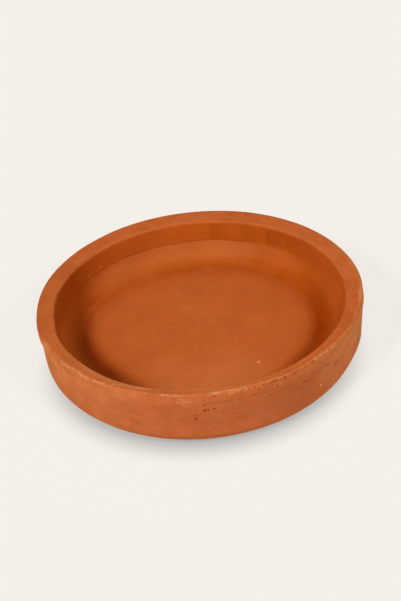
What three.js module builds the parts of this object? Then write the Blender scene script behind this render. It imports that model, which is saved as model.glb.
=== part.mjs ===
// A shallow round cooking pan of unglazed red clay, as a hand builder lays it up before firing:
// a slab for the floor, a wall coil on its edge, a thin coil pressed into the inside corner,
// and a broad flat rim coil on top. Millimetres, +Z up, front at -Y. The origin is on the table
// under the centre of the rim's outside.

import * as THREE from "three";

// Driving sizes of the whole pan
const panHeight = 40;
const rimDiameter = 219; // outside, at the rim's widest line
const mouthOffset = 2.6; // how much nearer the front the mouth and the foot lie than the rim's outside

// Rim coil
const rimWidth = 12.2; // from the mouth to the outside, at the sides
const rimHeight = 7;
const rimOverhang = 1.4; // how far the rim stands proud of the wall under it
const rimSideDraft = 0.4; // how much narrower the rim's side is at its lower edge
const innerEdgeRadius = 1.5;
const outerEdgeRadius = 1.5;
const wornEdgeRadius = 6; // the outer edge where the front is rubbed round
const wornMiddle = -95; // degrees round from +X, where the worn stretch has its middle
const wornReach = 66; // degrees from the middle to where the wear ends
const wornFade = 18; // degrees over which the wear runs out

// Wall coil
const wallLean = 1.9; // how much narrower the outside is at the foot than under the rim
const innerLean = 2.1; // how much narrower the inside is at the crease than at the mouth
const creaseDepth = 13.5; // how far the crease, where the corner coil ends, lies below the rim

// Corner coil
const cornerCoilWidth = 12.5; // from its toe on the floor slab to the wall coil
const coveHollow = 1.6; // how far its face sinks in below a straight slope

// Floor slab
const floorThickness = 13; // at the floor's margin
const edgeTurnUp = 0.7; // how far the slab's edge stands above the floor's margin
const grooveDepth = 1; // finger groove round the floor, below the margin
const grooveInset = 3.3; // from the corner coil's toe in to the groove's lowest line
const grooveBank = 6.5; // from the groove's lowest line in to the floor's margin
const floorCrown = 0.4; // rise of the floor's middle above its margin
const footRounding = 14; // how far the foot's curve runs in under the pan

// Fineness of the facets
const stepsAround = 72;
const stepsOnEdge = 4;
const stepsOnFoot = 6;
const stepsOnCove = 5;
const stepsOnGroove = 3;
const stepsOnFloor = 3;

// Radii and heights that follow from the driving sizes. Radii are taken from the mouth's centre.
const rimRadius = rimDiameter / 2;
const mouthRadius = rimRadius - rimWidth;
const rimSeam = panHeight - rimHeight;
const rimSeamRadius = rimRadius - rimSideDraft;
const wallTopRadius = rimSeamRadius - rimOverhang;
const wallFootRadius = wallTopRadius - wallLean;
const underRadius = wallFootRadius - footRounding;
const creaseHeight = panHeight - creaseDepth;
const creaseRadius = mouthRadius - innerLean;
const innerSeamRadius = mouthRadius - innerLean * (rimHeight / creaseDepth);
const slabEdgeHeight = floorThickness + edgeTurnUp;
const toeRadius = creaseRadius - cornerCoilWidth;
const grooveRadius = toeRadius - grooveInset;
const grooveHeight = floorThickness - grooveDepth;
const marginRadius = grooveRadius - grooveBank;

// Profiles are lists of [radius, height], from the axis or going once round a closed section.

// Part of an ellipse, from one angle to another in quarter turns, without its first point
function arc(centre, halfWidth, halfHeight, from, to, steps) {
  return Array.from({ length: steps }, (_, i) => {
    const angle = (from + ((to - from) * (i + 1)) / steps) * (Math.PI / 2);
    return [
      centre[0] + halfWidth * Math.cos(angle),
      centre[1] + halfHeight * Math.sin(angle),
    ];
  });
}

// A soft S from one point to another, level at both ends, without its first point
function ease(start, end, steps) {
  return Array.from({ length: steps }, (_, i) => {
    const along = (i + 1) / steps;
    const rise = (1 - Math.cos(Math.PI * along)) / 2;
    return [start[0] + (end[0] - start[0]) * along, start[1] + (end[1] - start[1]) * rise];
  });
}

// A slope that sinks in by the given depth at its middle, without its first and last points
function hollowSlope(start, end, depth, steps) {
  const run = end[0] - start[0];
  const rise = end[1] - start[1];
  const length = Math.hypot(run, rise);
  return Array.from({ length: steps - 1 }, (_, i) => {
    const along = (i + 1) / steps;
    const sink = 4 * depth * along * (1 - along);
    return [
      start[0] + run * along - (sink * rise) / length,
      start[1] + rise * along + (sink * run) / length,
    ];
  });
}

// The rim's outside isn't centred on the mouth: it lies further back, and the wall's outside
// leans towards it from the foot up. The part's origin is under the rim's outside.
function backwardShift(radius, height) {
  const outward = THREE.MathUtils.clamp((radius - mouthRadius) / rimWidth, 0, 1);
  const upward = Math.min(height / rimSeam, 1);
  return mouthOffset * (outward * upward - 1);
}

// The rim's outer edge radius at an angle: crisp behind and at the sides, worn round in front
function edgeRadiusAt(angle) {
  const middle = THREE.MathUtils.degToRad(wornMiddle);
  const apart = THREE.MathUtils.radToDeg(Math.acos(Math.cos(angle - middle)));
  const wear = THREE.MathUtils.smoothstep(wornReach - apart, 0, wornFade);
  const widest = Math.max(wornEdgeRadius, outerEdgeRadius);
  return THREE.MathUtils.lerp(outerEdgeRadius, widest, wear);
}

// A piece turned about the upright axis. profileAt(angle) gives as many points at every angle:
// the lathe makes the faces, and each step round it then takes its own profile.
function turned(name, profileAt, colour, roughness) {
  const outline = profileAt(0).map(([radius, height]) => new THREE.Vector2(radius, height));
  const geometry = new THREE.LatheGeometry(outline, stepsAround);
  const points = geometry.getAttribute("position");
  for (let step = 0; step <= stepsAround; step += 1) {
    const angle = ((step % stepsAround) / stepsAround) * 2 * Math.PI - Math.PI / 2;
    profileAt(angle).forEach(([radius, height], i) => {
      const x = radius * Math.cos(angle);
      const y = radius * Math.sin(angle) + backwardShift(radius, height);
      points.setXYZ(step * outline.length + i, x, y, height);
    });
  }
  geometry.computeVertexNormals();
  const clay = new THREE.MeshStandardMaterial({ color: colour, roughness, metalness: 0 });
  const mesh = new THREE.Mesh(geometry, clay);
  mesh.name = name;
  return mesh;
}

// The floor slab: flat underside, rounded foot, edge turned up to carry both coils, then the
// groove that a fingertip leaves round the floor, and the floor itself, a little crowned
function baseSlab() {
  const foot = [underRadius, slabEdgeHeight];
  const toe = [toeRadius, slabEdgeHeight];
  const groove = [grooveRadius, grooveHeight];
  const margin = [marginRadius, floorThickness];
  const crown = Array.from({ length: stepsOnFloor }, (_, i) => {
    const out = 1 - (i + 1) / stepsOnFloor;
    return [marginRadius * out, floorThickness + floorCrown * (1 - out * out)];
  });
  const profile = [
    [0, 0],
    [underRadius, 0],
    ...arc(foot, footRounding, slabEdgeHeight, -1, 0, stepsOnFoot),
    toe,
    ...ease(toe, groove, stepsOnGroove),
    ...ease(groove, margin, stepsOnGroove),
    ...crown,
  ];
  return turned("base_slab", () => profile, 0xb9602e, 0.85);
}

// The wall coil: near upright, standing on the slab's edge and carrying the rim
function wallCoil() {
  const profile = [
    [creaseRadius, slabEdgeHeight],
    [wallFootRadius, slabEdgeHeight],
    [wallTopRadius, rimSeam],
    [innerSeamRadius, rimSeam],
    [creaseRadius, creaseHeight],
    [creaseRadius, slabEdgeHeight],
  ];
  return turned("wall_coil", () => profile, 0xc46a38, 0.9);
}

// The corner coil: wedged between slab and wall, its face wiped to a hollow slope that ends in
// a crease on the wall
function cornerCoil() {
  const toe = [toeRadius, slabEdgeHeight];
  const crease = [creaseRadius, creaseHeight];
  const profile = [
    toe,
    [creaseRadius, slabEdgeHeight],
    crease,
    ...hollowSlope(crease, toe, coveHollow, stepsOnCove),
    toe,
  ];
  return turned("corner_coil", () => profile, 0xb35524, 0.85);
}

// The rim coil: a broad flat top between two rounded edges, a little proud of the wall outside
function rimCoil() {
  const innerCentre = [mouthRadius + innerEdgeRadius, panHeight - innerEdgeRadius];
  const profileAt = (angle) => {
    const edge = edgeRadiusAt(angle);
    const outerCentre = [rimRadius - edge, panHeight - edge];
    return [
      [innerSeamRadius, rimSeam],
      [rimSeamRadius, rimSeam],
      [rimRadius, panHeight - edge],
      ...arc(outerCentre, edge, edge, 0, 1, stepsOnEdge),
      [mouthRadius + innerEdgeRadius, panHeight],
      ...arc(innerCentre, innerEdgeRadius, innerEdgeRadius, 1, 2, stepsOnEdge),
      [innerSeamRadius, rimSeam],
    ];
  };
  return turned("rim_coil", profileAt, 0xbb5f2f, 0.85);
}

const pan = new THREE.Group();
pan.add(baseSlab(), wallCoil(), cornerCoil(), rimCoil());

export default pan;
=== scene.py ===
# A shallow clay cooking pan, hand built, fired red and left unglazed.
# Metres, +Z up, front at -Y. The pan's skin is one half profile, spun, given the marks of the hand
# and of use, and parted along the lines where the clay courses meet. Each course is closed with the
# faces on which it lies against its neighbours.

import math

import bmesh
import bpy
import numpy as np
from mathutils import Matrix, Vector, kdtree, noise


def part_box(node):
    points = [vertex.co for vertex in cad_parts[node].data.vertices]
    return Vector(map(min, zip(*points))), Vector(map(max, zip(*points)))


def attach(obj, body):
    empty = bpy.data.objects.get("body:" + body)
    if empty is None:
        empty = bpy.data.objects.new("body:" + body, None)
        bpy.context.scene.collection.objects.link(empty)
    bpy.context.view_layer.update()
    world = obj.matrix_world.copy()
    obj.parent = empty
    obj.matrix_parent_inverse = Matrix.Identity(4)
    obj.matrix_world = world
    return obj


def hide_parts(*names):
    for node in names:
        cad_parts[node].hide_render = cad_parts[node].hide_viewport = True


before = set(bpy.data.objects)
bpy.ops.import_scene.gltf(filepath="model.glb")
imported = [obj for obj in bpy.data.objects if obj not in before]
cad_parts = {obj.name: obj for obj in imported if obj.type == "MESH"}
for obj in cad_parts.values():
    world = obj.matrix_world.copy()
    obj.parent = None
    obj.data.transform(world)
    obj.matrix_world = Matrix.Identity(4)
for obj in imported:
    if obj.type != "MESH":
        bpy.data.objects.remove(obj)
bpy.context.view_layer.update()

MM = 0.001

# Sizes read from the frame. Radii are taken from the mouth's centre, as in a turned profile.
rim_low, rim_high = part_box("rim_coil")
wall_low, wall_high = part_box("wall_coil")
corner_low, corner_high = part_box("corner_coil")
slab_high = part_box("base_slab")[1]
TOP = rim_high.z
RIM_RADIUS = rim_high.x
RIM_SEAM = rim_low.z
WALL_TOP_RADIUS = wall_high.x
WALL_FOOT_RADIUS = slab_high.x
SLAB_EDGE = wall_low.z
CREASE_RADIUS = corner_high.x
CREASE_HEIGHT = corner_high.z - 0.9 * MM
MOUTH_SHIFT = (corner_low.y + corner_high.y) / 2

# Sizes of the profile that the frame's boxes don't give
RIM_WIDTH = 12.2 * MM
EDGE_RADIUS = 1.5 * MM
RIM_DRAFT = 0.4 * MM
SEAM_LIP = 0.5 * MM
CORNER_COIL_WIDTH = 12.0 * MM
GROOVE_INSET = 2.8 * MM
GROOVE_BANK = 4.2 * MM
BANK_RUNOUT = 10.2 * MM
GROOVE_DEPTH = 1.1 * MM
BANK_DEPTH = 0.9 * MM
MARGIN_DROP = 0.7 * MM
FLOOR_CROWN = 0.4 * MM
FOOT_ROUNDING = 14 * MM
UNDERSIDE_RING = 60 * MM

MOUTH_RADIUS = RIM_RADIUS - RIM_WIDTH
INNER_SEAM_RADIUS = CREASE_RADIUS + (MOUTH_RADIUS - CREASE_RADIUS) * (RIM_SEAM - CREASE_HEIGHT) / (
    TOP - CREASE_HEIGHT
)
TOE_RADIUS = CREASE_RADIUS - CORNER_COIL_WIDTH
GROOVE_RADIUS = TOE_RADIUS - GROOVE_INSET
BANK_RADIUS = GROOVE_RADIUS - GROOVE_BANK
MARGIN_RADIUS = BANK_RADIUS - BANK_RUNOUT
MARGIN_HEIGHT = SLAB_EDGE - MARGIN_DROP
UNDER_RADIUS = WALL_FOOT_RADIUS - FOOT_ROUNDING

# Fineness of the skin
STEPS_AROUND = 1440
FLOOR_LOOP = 520
UNDERSIDE_LOOP = 240
ROW_ON_RIM = 0.42 * MM
ROW_ON_WALL = 0.46 * MM
ROW_ON_CORNER = 0.55 * MM
ROW_ON_SLAB = 0.90 * MM
ROW_UNDERNEATH = 6 * MM


# Camera, fitted to the rim, the mouth and the foot
CAMERA_TILT = math.radians(34.60)
CAMERA_ROLL = math.radians(-5.82)
CAMERA_REACH = 1.800
CAMERA_AIM = Vector((1.11 * MM, -1.50 * MM, TOP + 0.3 * MM))
FOCAL_LENGTH = 162.1
SENSOR_LONG_SIDE = 36.0


def place_camera():
    bpy.context.scene.view_settings.view_transform = "Standard"
    back = Vector((0, -math.cos(CAMERA_TILT), math.sin(CAMERA_TILT)))
    ahead = -back
    right = ahead.cross(Vector((0, 0, 1))).normalized()
    up = right.cross(ahead)
    turned_right = math.cos(CAMERA_ROLL) * right + math.sin(CAMERA_ROLL) * up
    turned_up = math.cos(CAMERA_ROLL) * up - math.sin(CAMERA_ROLL) * right
    lens = bpy.data.cameras.new("camera")
    lens.lens = FOCAL_LENGTH
    lens.sensor_width = SENSOR_LONG_SIDE
    camera = bpy.data.objects.new("camera", lens)
    bpy.context.scene.collection.objects.link(camera)
    turn = Matrix((turned_right, turned_up, back)).transposed()
    camera.matrix_world = Matrix.Translation(CAMERA_AIM + CAMERA_REACH * back) @ turn.to_4x4()
    bpy.context.scene.camera = camera


# Colours are written as they look on screen, 0 to 255, and turned to the linear values of nodes


def shade(red, green, blue):
    def linear(value):
        value /= 255
        return value / 12.92 if value <= 0.04045 else ((value + 0.055) / 1.055) ** 2.4

    return (linear(red), linear(green), linear(blue), 1.0)


# Node helpers


def add(tree, kind, **values):
    """Adds a node. A value sets the input of that name, or else the node's own setting."""
    node = tree.nodes.new(kind)
    for name, value in values.items():
        if name in node.inputs:
            node.inputs[name].default_value = value
        else:
            setattr(node, name, value)
    return node


def feed(tree, socket, value):
    """Links an output to an input, or sets a plain value on it."""
    if isinstance(value, bpy.types.NodeSocket):
        tree.links.new(value, socket)
    else:
        socket.default_value = value


def calculate(tree, operation, first, second=0.0, third=0.0):
    node = add(tree, "ShaderNodeMath", operation=operation)
    for socket, value in zip(node.inputs, (first, second, third)):
        feed(tree, socket, value)
    return node.outputs[0]


def spread(tree, value, low, high, to_low=0.0, to_high=1.0):
    """Maps a value's stretch from low to high onto another stretch, softly and clamped."""
    node = add(tree, "ShaderNodeMapRange", interpolation_type="SMOOTHSTEP")
    for socket, item in zip(node.inputs, (value, low, high, to_low, to_high)):
        feed(tree, socket, item)
    return node.outputs[0]


def blend(tree, share, first, second, how="MIX"):
    node = add(tree, "ShaderNodeMix", data_type="RGBA", blend_type=how)
    feed(tree, node.inputs[0], share)
    feed(tree, node.inputs[6], first)
    feed(tree, node.inputs[7], second)
    return node.outputs[2]


def cloud(tree, places, size, detail=3.0, roughness=0.55):
    """Noise with lumps of the given size, from 0 to 1."""
    node = add(tree, "ShaderNodeTexNoise", Detail=detail, Roughness=roughness)
    feed(tree, node.inputs["Scale"], calculate(tree, "DIVIDE", 1.0, size))
    feed(tree, node.inputs["Vector"], places)
    return node.outputs["Fac"]


def object_places(tree):
    return add(tree, "ShaderNodeTexCoord").outputs["Object"]


def distance_out(tree, places):
    """Distance from the upright axis."""
    flat = add(tree, "ShaderNodeVectorMath", operation="MULTIPLY")
    feed(tree, flat.inputs[0], places)
    feed(tree, flat.inputs[1], (1, 1, 0))
    length = add(tree, "ShaderNodeVectorMath", operation="LENGTH")
    feed(tree, length.inputs[0], flat.outputs[0])
    return length.outputs["Value"]


def new_group(name, inputs, outputs):
    """A shader node group with the named sockets, given as (name, kind, value)."""
    group = bpy.data.node_groups.new(name, "ShaderNodeTree")
    for label, kind, value in inputs:
        socket = group.interface.new_socket(label, in_out="INPUT", socket_type=kind)
        if value is not None:
            socket.default_value = value
    for label, kind in outputs:
        group.interface.new_socket(label, in_out="OUTPUT", socket_type=kind)
    return group, group.nodes.new("NodeGroupInput").outputs, group.nodes.new("NodeGroupOutput").inputs


NUMBER = "NodeSocketFloat"
COLOUR = "NodeSocketColor"
PLACES = "NodeSocketVector"


def use_group(tree, group, **values):
    node = tree.nodes.new("ShaderNodeGroup")
    node.node_tree = group
    for name, value in values.items():
        feed(tree, node.inputs[name.replace("_", " ")], value)
    return node.outputs


# Light: a soft key from the front left, a weaker soft lamp from the front right, and a white
# tent all round
PALE_FLOOR = shade(244, 239, 233)
TENT_STRENGTH = 0.17
LAMPS = (
    # name, share of the light that falls on the table, height, side left of the front, softness
    ("key", 0.52, 42, 45, 12),
    ("fill", 0.31, 42, -45, 12),
)


def light_the_scene():
    world = bpy.data.worlds.new("light tent")
    bpy.context.scene.world = world
    world.use_nodes = True
    tree = world.node_tree
    tree.nodes.clear()
    tent = add(tree, "ShaderNodeBackground", Color=(1, 1, 1, 1), Strength=TENT_STRENGTH)
    backdrop = add(tree, "ShaderNodeBackground", Color=PALE_FLOOR, Strength=1.0)
    path = add(tree, "ShaderNodeLightPath")
    seen = calculate(tree, "MAXIMUM", path.outputs["Is Camera Ray"], path.outputs["Is Glossy Ray"])
    seen = calculate(tree, "MAXIMUM", seen, path.outputs["Is Transmission Ray"])
    mix = add(tree, "ShaderNodeMixShader")
    out = add(tree, "ShaderNodeOutputWorld")
    tree.links.new(seen, mix.inputs[0])
    tree.links.new(tent.outputs[0], mix.inputs[1])
    tree.links.new(backdrop.outputs[0], mix.inputs[2])
    tree.links.new(mix.outputs[0], out.inputs[0])

    for name, share, height, side, softness in LAMPS:
        height, side = math.radians(height), math.radians(side)
        sun = bpy.data.lights.new(name, "SUN")
        sun.energy = share * math.pi / math.sin(height)
        sun.angle = math.radians(softness)
        lamp = bpy.data.objects.new(name, sun)
        bpy.context.scene.collection.objects.link(lamp)
        across = math.cos(height)
        towards = Vector((-math.sin(side) * across, -math.cos(side) * across, math.sin(height)))
        lamp.rotation_euler = (-towards).to_track_quat("-Z", "Y").to_euler()


FLOOR_SIZE = 8.0
CAST_SHADOW_SHARE = 0.10
CONTACT_SHADOW = shade(162, 163, 160)
# The painted shadow is full within the near radius round its centre, and gone past the far one
CONTACT_NEAR = 80.9 * MM
CONTACT_FAR = 114.9 * MM
CONTACT_CENTRE = (-1.4 * MM, -12.9 * MM, 0.0)


def lay_the_floor():
    """A pale floor. To the camera most of it is backdrop, painted darker round the pan as a soft
    contact shadow, with a share of the shadow that the lamps cast."""
    bpy.ops.mesh.primitive_plane_add(size=FLOOR_SIZE, location=(0, 0, 0))
    floor = bpy.context.object
    floor.name = "floor"
    material = bpy.data.materials.new("pale floor")
    material.use_nodes = True
    tree = material.node_tree
    surface = tree.nodes["Principled BSDF"]
    surface.inputs["Base Color"].default_value = PALE_FLOOR
    surface.inputs["Roughness"].default_value = 1.0
    surface.inputs["Specular IOR Level"].default_value = 0.0
    centred = add(tree, "ShaderNodeVectorMath", operation="SUBTRACT")
    feed(tree, centred.inputs[0], object_places(tree))
    feed(tree, centred.inputs[1], CONTACT_CENTRE)
    far = spread(tree, distance_out(tree, centred.outputs[0]), CONTACT_NEAR, CONTACT_FAR)
    backdrop = add(tree, "ShaderNodeEmission", Strength=1.0)
    feed(tree, backdrop.inputs["Color"], blend(tree, far, CONTACT_SHADOW, PALE_FLOOR))
    seen = add(tree, "ShaderNodeLightPath").outputs["Is Camera Ray"]
    mix = add(tree, "ShaderNodeMixShader")
    tree.links.new(calculate(tree, "MULTIPLY", seen, 1 - CAST_SHADOW_SHARE), mix.inputs[0])
    tree.links.new(surface.outputs[0], mix.inputs[1])
    tree.links.new(backdrop.outputs[0], mix.inputs[2])
    tree.links.new(mix.outputs[0], tree.nodes["Material Output"].inputs["Surface"])
    floor.data.materials.append(material)


# The half profile. A bend's handles are this share of its chord, and it is about this much longer
HANDLE_SHARE = 0.39
BEND_TO_CHORD = 1.06


def cubic(start, first, second, end, along):
    """Points on the curve that leaves start towards first and reaches end from second."""
    rest = 1 - along
    curve = rest**3 * start + 3 * rest**2 * along * first
    return curve + (3 * rest * along**2 * second + along**3 * end)


def bend(start, leave, end, arrive, row):
    """A curve from start to end, leaving and arriving in the given directions, as rows of points
    about that far apart, without the first."""
    start, end = np.array(start), np.array(end)
    chord = np.linalg.norm(end - start)
    handle = HANDLE_SHARE * chord
    first = start + handle * np.array(leave) / np.linalg.norm(leave)
    second = end - handle * np.array(arrive) / np.linalg.norm(arrive)
    rows = max(1, round(BEND_TO_CHORD * chord / row))
    along = np.linspace(0, 1, rows + 1)[1:, None]
    return [tuple(point) for point in cubic(start, first, second, end, along)]


def straight(start, end, row):
    way = np.array(end) - np.array(start)
    return bend(start, way, end, way, row)


UP = (0, 1)
OUT = (1, 0)
IN = (-1, 0)
WALL_LEAN = (WALL_TOP_RADIUS - WALL_FOOT_RADIUS, RIM_SEAM - SLAB_EDGE)
INNER_LEAN = (CREASE_RADIUS - MOUTH_RADIUS, CREASE_HEIGHT - TOP)
COVE_START = (-0.42, -0.91)
COVE_END = (-0.92, -0.39)
BANK_RISE = (-1, 0.10)


def profile_stretches():
    """The profile from the underside round the outside, over the rim and down to the floor, as
    a list of courses, each the rows of its stretch of skin."""
    under = (UNDERSIDE_RING, 0.0)
    foot = (UNDER_RADIUS, 0.0)
    foot_top = (WALL_FOOT_RADIUS, SLAB_EDGE)
    wall_top = (WALL_TOP_RADIUS, RIM_SEAM)
    side_low = (RIM_RADIUS - RIM_DRAFT, RIM_SEAM + 3 * SEAM_LIP)
    side_high = (RIM_RADIUS, TOP - EDGE_RADIUS)
    land_outside = (RIM_RADIUS - EDGE_RADIUS, TOP)
    land_inside = (MOUTH_RADIUS + EDGE_RADIUS, TOP)
    mouth = (MOUTH_RADIUS, TOP - EDGE_RADIUS)
    inner_seam = (INNER_SEAM_RADIUS, RIM_SEAM)
    crease = (CREASE_RADIUS, CREASE_HEIGHT)
    toe = (TOE_RADIUS, SLAB_EDGE)
    groove = (GROOVE_RADIUS, SLAB_EDGE - GROOVE_DEPTH)
    bank = (BANK_RADIUS, SLAB_EDGE - BANK_DEPTH)
    margin = (MARGIN_RADIUS, MARGIN_HEIGHT)
    outer_foot = straight(under, foot, ROW_UNDERNEATH)
    outer_foot += bend(foot, OUT, foot_top, WALL_LEAN, ROW_ON_SLAB)
    outer_wall = bend(foot_top, WALL_LEAN, wall_top, WALL_LEAN, ROW_ON_WALL)
    rim = bend(wall_top, (0.5, 0.5), side_low, UP, ROW_ON_RIM)
    rim += straight(side_low, side_high, ROW_ON_RIM)
    rim += bend(side_high, UP, land_outside, IN, ROW_ON_RIM)
    rim += straight(land_outside, land_inside, ROW_ON_RIM)
    rim += bend(land_inside, IN, mouth, INNER_LEAN, ROW_ON_RIM)
    rim += straight(mouth, inner_seam, ROW_ON_RIM)
    inner_wall = straight(inner_seam, crease, ROW_ON_WALL)
    corner = bend(crease, COVE_START, toe, COVE_END, ROW_ON_CORNER)
    inner_slab = bend(toe, COVE_END, groove, IN, ROW_ON_SLAB)
    inner_slab += bend(groove, IN, bank, BANK_RISE, ROW_ON_SLAB)
    inner_slab += bend(bank, BANK_RISE, margin, IN, ROW_ON_SLAB)
    return [
        ("base_slab", [under] + outer_foot),
        ("wall_coil", outer_wall),
        ("rim_coil", rim),
        ("wall_coil", inner_wall),
        ("corner_coil", corner),
        ("base_slab", inner_slab),
    ]


COURSES = ("base_slab", "wall_coil", "rim_coil", "corner_coil")


def edit(piece):
    bpy.ops.object.select_all(action="DESELECT")
    piece.select_set(True)
    bpy.context.view_layer.objects.active = piece
    bpy.ops.object.mode_set(mode="EDIT")
    bpy.ops.mesh.select_mode(type="VERT")


def leave_edit():
    bpy.ops.object.mode_set(mode="OBJECT")


def pick(piece, wanted):
    """In edit mode, selects the vertices whose place is wanted, and the edges between them."""
    bpy.ops.mesh.select_all(action="DESELECT")
    shape = bmesh.from_edit_mesh(piece.data)
    for vertex in shape.verts:
        if wanted(vertex):
            vertex.select = True
    shape.select_flush(True)
    bmesh.update_edit_mesh(piece.data)


def on_ring(radius, height, slack=0.02 * MM):
    def wanted(vertex):
        place = vertex.co
        near = abs(math.hypot(place.x, place.y) - radius) < slack
        return near and abs(place.z - height) < slack

    return wanted


def turn_the_skin(rows):
    """Draws the profile from one point by extruding it row by row, and turns it all round."""
    bpy.ops.object.select_all(action="DESELECT")
    radius, height = rows[0]
    bpy.ops.mesh.primitive_plane_add(size=MM, location=(0, 0, 0))
    skin = bpy.context.object
    skin.name = "skin"
    edit(skin)
    bpy.ops.mesh.select_all(action="SELECT")
    bpy.ops.mesh.merge(type="CENTER")
    bpy.ops.transform.translate(value=(radius, 0, height))
    for next_radius, next_height in rows[1:]:
        step = (next_radius - radius, 0, next_height - height)
        bpy.ops.mesh.extrude_region_move(TRANSFORM_OT_translate={"value": step})
        radius, height = next_radius, next_height
    leave_edit()
    lathe = skin.modifiers.new("lathe", "SCREW")
    lathe.axis = "Z"
    lathe.angle = 2 * math.pi
    lathe.steps = STEPS_AROUND
    lathe.render_steps = STEPS_AROUND
    lathe.use_merge_vertices = True
    lathe.merge_threshold = 0.002 * MM
    bpy.ops.object.modifier_apply(modifier=lathe.name)
    return skin


def close_disc(skin, ring, loop, inner_radius):
    """Fills the disc inside a ring of the skin: a coarser ring is added a little further in,
    bridged to it, and filled with a grid."""
    radius, height = ring
    bpy.ops.mesh.select_all(action="DESELECT")
    bpy.ops.mesh.primitive_circle_add(
        vertices=loop, radius=inner_radius, fill_type="NOTHING", location=(0, 0, height)
    )
    inside, outside = on_ring(inner_radius, height), on_ring(radius, height)
    pick(skin, lambda vertex: inside(vertex) or outside(vertex))
    bpy.ops.mesh.bridge_edge_loops()
    pick(skin, inside)
    bpy.ops.mesh.fill_grid(span=loop // 4, offset=0)


def make_skin():
    stretches = profile_stretches()
    rows = [row for _, stretch in stretches for row in stretch]
    skin = turn_the_skin(rows)
    edit(skin)
    close_disc(skin, rows[-1], FLOOR_LOOP, rows[-1][0] - ROW_ON_SLAB)
    close_disc(skin, rows[0], UNDERSIDE_LOOP, rows[0][0] - ROW_UNDERNEATH)
    bpy.ops.mesh.select_all(action="SELECT")
    bpy.ops.mesh.normals_make_consistent(inside=False)
    leave_edit()
    return skin, stretches


def mark_courses(skin, stretches):
    """Gives each face the material slot of its course, by the profile rows between which it lies."""
    for name in COURSES:
        skin.data.materials.append(bpy.data.materials.new(name))
    rows = np.array([row for _, stretch in stretches for row in stretch])
    course_of_row = [COURSES.index(name) for name, stretch in stretches for _ in stretch]
    centres = read(skin.data.polygons, "center", 3)
    radius = np.hypot(centres[:, 0], centres[:, 1])
    slots = np.zeros(len(centres), np.int32)
    middles = (rows[1:] + rows[:-1]) / 2
    for start in range(0, len(centres), 20000):
        part = slice(start, start + 20000)
        apart = (radius[part, None] - middles[:, 0]) ** 2
        apart += (centres[part, 2, None] - middles[:, 1]) ** 2
        slots[part] = np.array(course_of_row[1:])[apart.argmin(1)]
    slots[radius < rows[-1][0]] = COURSES.index("base_slab")
    skin.data.polygons.foreach_set("material_index", slots)


def read(items, name, width):
    values = np.empty(len(items) * width, np.float32)
    items.foreach_get(name, values)
    return values.reshape(-1, width).astype(float) if width > 1 else values.astype(float)


# The hand's work on the skin. Angles are in degrees round from +X, with the front at -90.


def smooth_step(low, high, value):
    share = np.clip((value - low) / (high - low), 0, 1)
    return share * share * (3 - 2 * share)


def bump(distance, width):
    """A soft hump, 1 at distance 0 and almost gone at one width."""
    return np.exp(-2 * (distance / width) ** 2)


def turned_from(angle, middle):
    """How many degrees the angle lies from the middle, the shorter way round."""
    return (angle - middle + 180) % 360 - 180


def clouds(places, size, octaves=2, seed=0):
    """Smooth noise from about -1 to 1 at each place, with lumps of about that size."""
    shift = Vector((3.1, 7.7, 5.3)) * seed
    values = [noise.fractal(Vector(place) + shift, 1.0, 2.0, octaves) for place in places / size]
    return np.array(values)


WIPED_ROUND = 85 * MM
INWARD_SHARE = 0.6


def wipes(round_way, radius, height, length, width, seed):
    """Noise drawn out along the way round, as a wet hand leaves it."""
    across = (INWARD_SHARE * radius + height) / width
    reach = WIPED_ROUND / length
    drawn = np.stack([np.cos(round_way) * reach, np.sin(round_way) * reach, across], -1)
    return clouds(drawn, 1.0, 2, seed)


# Where the pan is out of round: angle, how far to each side, and how much the rim and the foot
# stand out there, in mm
OUT_OF_ROUND = (
    (176, 20, -0.70, -0.10),
    (142, 26, -0.35, 0.0),
    (7, 13, 0.30, 0.0),
    (-26, 12, 0.0, -0.40),
    (-42, 18, -0.10, -0.30),
    (-158, 20, 0.0, 0.30),
    (-96, 44, 0.10, 0.95),
)

# Where the front of the rim is worn round: by angle, how much of its flat top is gone, in mm
WORN_EDGE = (
    (-180, 0), (-167, 0.2), (-163, 3.4), (-158, 4.6), (-153, 4.4), (-147, 3.5), (-141, 4.9),
    (-135, 4.0), (-129, 4.6), (-118, 6.0), (-108, 6.2), (-95, 5.9), (-88, 6.3), (-82, 7.4),
    (-76, 6.4), (-69, 5.6), (-62, 4.0), (-56, 3.9), (-49, 4.5), (-43, 4.0), (-37, 3.3), (-31, 2.8),
    (-26, 1.7), (-20, 1.4), (-14, 1.3), (-9, 1.2), (0, 0.9), (10, 0.5), (24, 0), (180, 0),
)
# It starts a little below the rim's seam, and is sound where it reaches in less than the least
WORN_LEAST = 0.2 * MM
WORN_FULL = 2.6 * MM
WORN_FOOT_DROP = 1.2 * MM
LEAST_LAND = 0.4 * MM
# Its curve: how far it follows the wall, and how far and how steeply it falls from its crest
WORN_BOW = 0.45
CREST_TIP = 0.50
CREST_SLOPE = math.radians(15)
# Its crest waves and is chipped: by what share of its width, in lumps of what size, and a seed
CREST_WAVES = ((0.12, 9 * MM, 1), (0.07, 2.4 * MM, 4))
# On the right the wall comes out until it's almost flush with the rim: angle, to each side, mm
FLUSH_WALL = (-3, 17, 1.5)
# Where the mouth comes in, on the left and at the front left: angle, to each side, mm
MOUTH_IN = ((-178, 13, 0.9), (-145, 22, 0.8), (-98, 16, 3.5))
# The crease inside is smoothed over where a finger has wiped along it: by angle, how much of it
CREASE_KINK = math.radians(20)
CREASE_REACH = 4 * MM
CREASE_WAVER = 0.7 * MM
WAVER_SIZE = 22 * MM
WAVER_REACH = 5 * MM
CREASE_SMOOTHED = (
    (-180, 1), (-60, 0.8), (-30, 1), (48, 1), (72, 0), (118, 0), (134, 0.7), (160, 0.95), (180, 1),
)


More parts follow.
